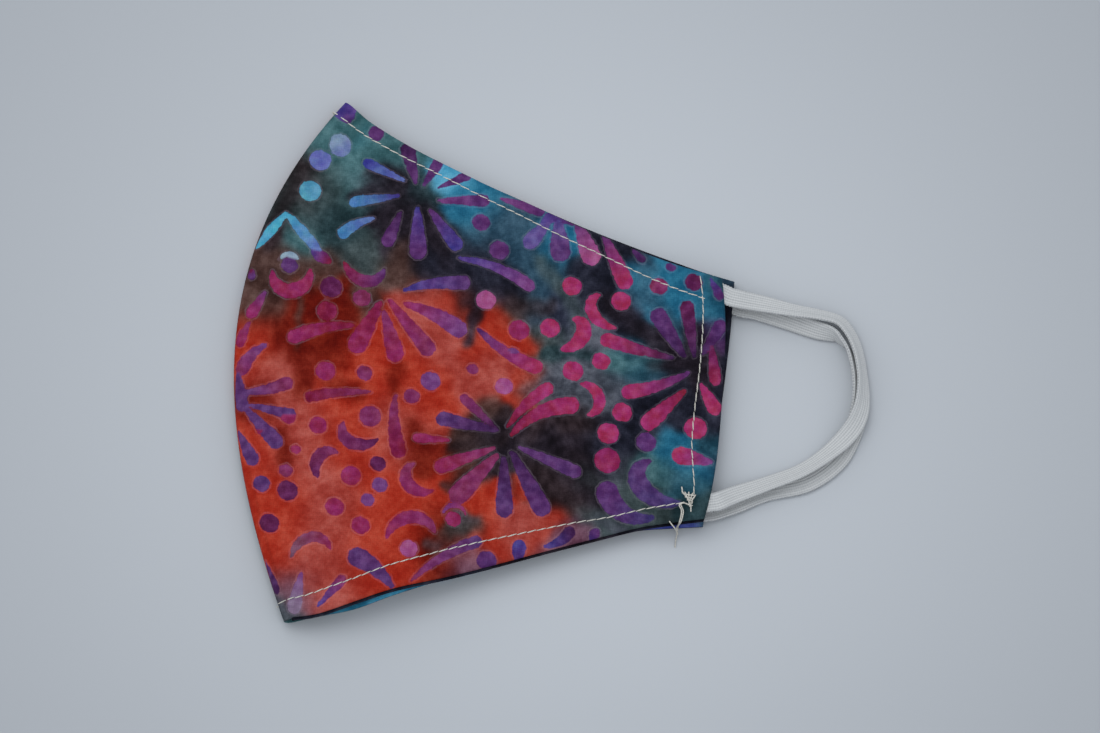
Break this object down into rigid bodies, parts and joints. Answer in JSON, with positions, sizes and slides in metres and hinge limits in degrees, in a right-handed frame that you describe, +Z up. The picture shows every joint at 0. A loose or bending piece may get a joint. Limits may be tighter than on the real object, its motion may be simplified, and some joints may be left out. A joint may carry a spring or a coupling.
{
  "type": "cloth face mask",
  "caption": "Folded cotton face mask sewn from two halves on a curved centre seam, lined, with flat elastic ear loops on its side hems.",
  "frame": {"origin": "under the middle of the folded mask's box, on the surface that it lies on", "axes": "+Z up from that surface, +X from the centre seam to the side hems and ear loops, +Y from the chin edge to the nose edge"},
  "size_m": [0.1852, 0.159, 0.0107],
  "materials": {
    "outer_cotton": "plain-woven cotton with a wax-resist dyed pattern",
    "lining_cotton": "plain-woven cotton with a wax-resist dyed pattern",
    "elastic": "flat knitted white elastic"
  },
  "bodies": {
    "root": {"left_outer": "outer_cotton", "left_lining": "lining_cotton", "right_outer": "outer_cotton", "right_lining": "lining_cotton", "left_ear_loop": "elastic", "right_ear_loop": "elastic"}
  },
  "joints": []
}
